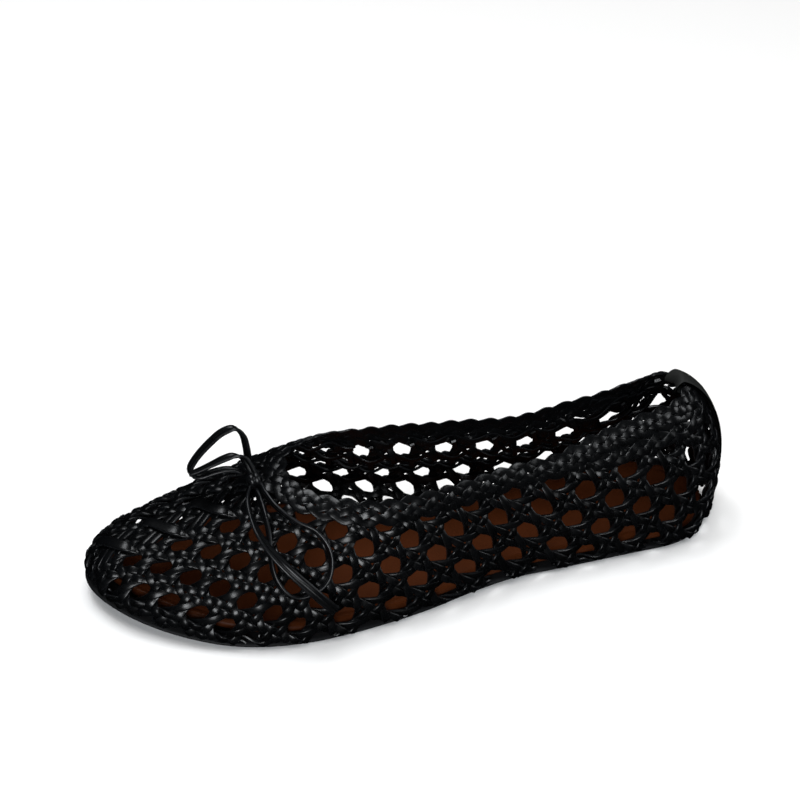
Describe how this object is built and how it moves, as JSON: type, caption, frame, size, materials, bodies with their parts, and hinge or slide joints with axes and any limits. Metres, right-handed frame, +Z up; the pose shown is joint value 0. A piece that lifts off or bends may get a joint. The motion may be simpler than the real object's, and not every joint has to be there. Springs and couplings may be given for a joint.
{
  "type": "woven ballet flat",
  "caption": "Open woven leather ballet flat with a hollow lattice upper, braided collar and edge, back strip, thin sole, brown insole and a thin lace bow.",
  "frame": {"origin": "middle of the shoe's box on the floor, measured without the bow", "axes": "+X towards the toe, +Y towards the outer side of the left foot, +Z up"},
  "size_m": [0.2536, 0.0853, 0.0659],
  "materials": {
    "woven_leather": "satin black",
    "lace_leather": "satin black",
    "sole_leather": "matte black",
    "insole_leather": "satin brown",
    "strip_leather": "matte charcoal"
  },
  "bodies": {
    "root": {"upper": "woven_leather", "outsole": "sole_leather", "insole": "insole_leather", "back_strip": "strip_leather", "vamp_lace_1": "lace_leather", "vamp_lace_2": "lace_leather", "vamp_lace_3": "lace_leather", "bow_knot": "lace_leather", "bow_loop_left": "lace_leather", "bow_loop_right": "lace_leather", "lace_tail_left": "lace_leather", "lace_tail_right": "lace_leather"}
  },
  "joints": []
}
